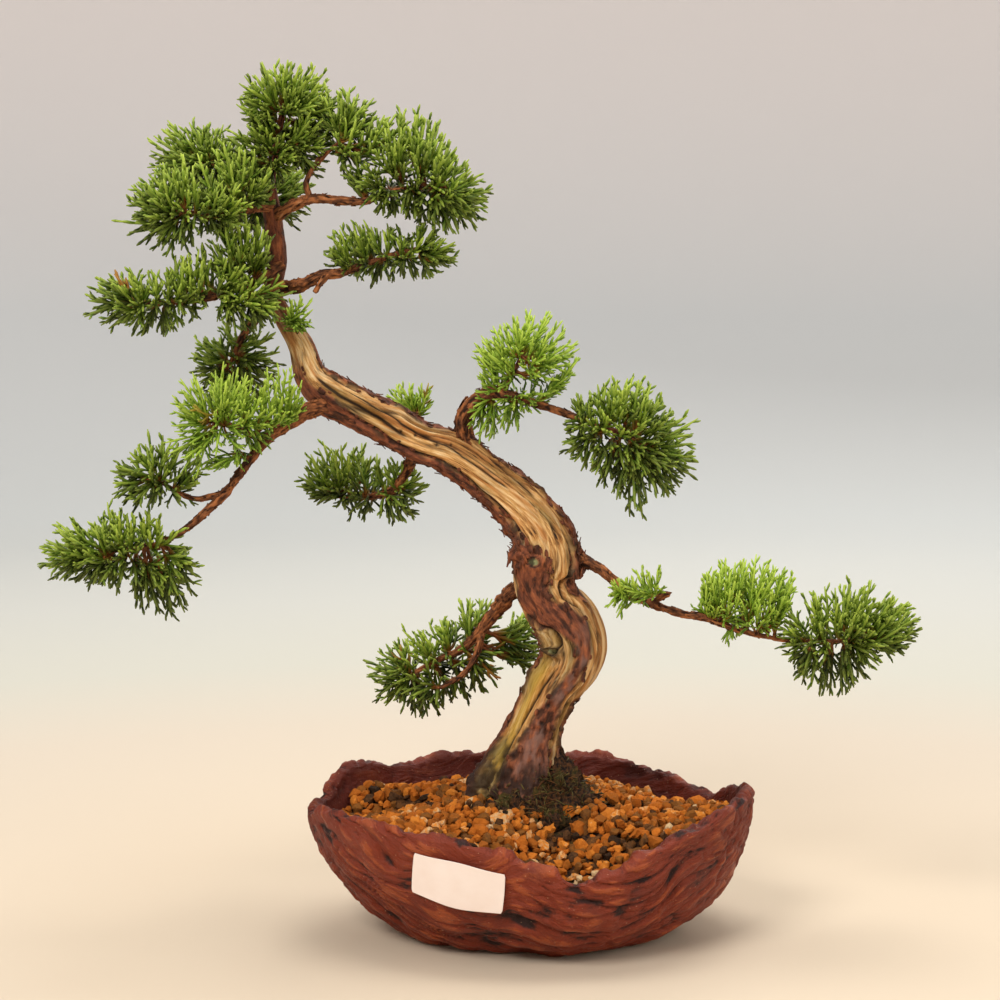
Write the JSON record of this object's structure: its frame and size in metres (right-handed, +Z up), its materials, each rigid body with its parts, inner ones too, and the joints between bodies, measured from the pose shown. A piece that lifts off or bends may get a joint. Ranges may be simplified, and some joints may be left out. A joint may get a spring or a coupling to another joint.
{
  "type": "potted juniper bonsai tree",
  "caption": "Slanting juniper bonsai with a curved bare-wood trunk, layered scale-leaf foliage and a boat-shaped carved stoneware bowl dressed with ochre granules.",
  "frame": {"origin": "middle of the bowl's flat foot, where it meets the surface it stands on", "axes": "+Z up; +X towards the bowl's pointed end, away from the side the crown leans to; the viewing side, with the label, faces -Y"},
  "size_m": [0.3495, 0.148, 0.3575],
  "materials": {
    "stoneware": "unglazed red-brown stoneware, hand carved, with iron specks and a dull sheen",
    "soil": "dark damp potting soil",
    "akadama": "fired clay granules, ochre to brown, dry and dusty",
    "moss": "dark crumbly humus with a sparse felt of moss",
    "trunk_wood": "old fibrous juniper wood, tan, with red-brown strips of bark",
    "branch_bark": "red-brown flaking juniper bark",
    "foliage": "juniper scale leaves, mid green with yellow-green tips",
    "plastic_mesh": "black moulded drainage mesh",
    "aluminium_wire": "bare soft aluminium wire",
    "paper_label": "blank white self-adhesive paper"
  },
  "bodies": {
    "root": {"pot": "stoneware", "drain_mesh_left": "plastic_mesh", "drain_mesh_right": "plastic_mesh", "drain_clip_left": "aluminium_wire", "drain_clip_right": "aluminium_wire", "soil": "soil", "akadama_dressing": "akadama", "moss_mound": "moss", "label": "paper_label", "trunk": "trunk_wood", "branch_right_low": "branch_bark", "branch_back_low": "branch_bark", "branch_right_mid": "branch_bark", "branch_back_mid": "branch_bark", "branch_left_long": "branch_bark", "branch_crown_hanging": "branch_bark", "branch_crown_left": "branch_bark", "branch_crown_left_high": "branch_bark", "branch_crown_left_top": "branch_bark", "branch_crown_right_low": "branch_bark", "branch_crown_right_high": "branch_bark", "branch_crown_rear": "branch_bark", "foliage_apex": "foliage", "foliage_crown_left_top": "foliage", "foliage_crown_left_high": "foliage", "foliage_crown_left": "foliage", "foliage_crown_hanging": "foliage", "foliage_crown_rear": "foliage", "foliage_crown_right_high": "foliage", "foliage_crown_right_low": "foliage", "foliage_trunk_tuft": "foliage", "foliage_left_upper": "foliage", "foliage_left_middle": "foliage", "foliage_left_end": "foliage", "foliage_back_mid": "foliage", "foliage_back_mid_top": "foliage", "foliage_right_mid_inner": "foliage", "foliage_right_mid_outer": "foliage", "foliage_back_low": "foliage", "foliage_back_low_inner": "foliage", "foliage_right_low_tuft": "foliage", "foliage_right_low_inner": "foliage", "foliage_right_low_end": "foliage"}
  },
  "joints": []
}
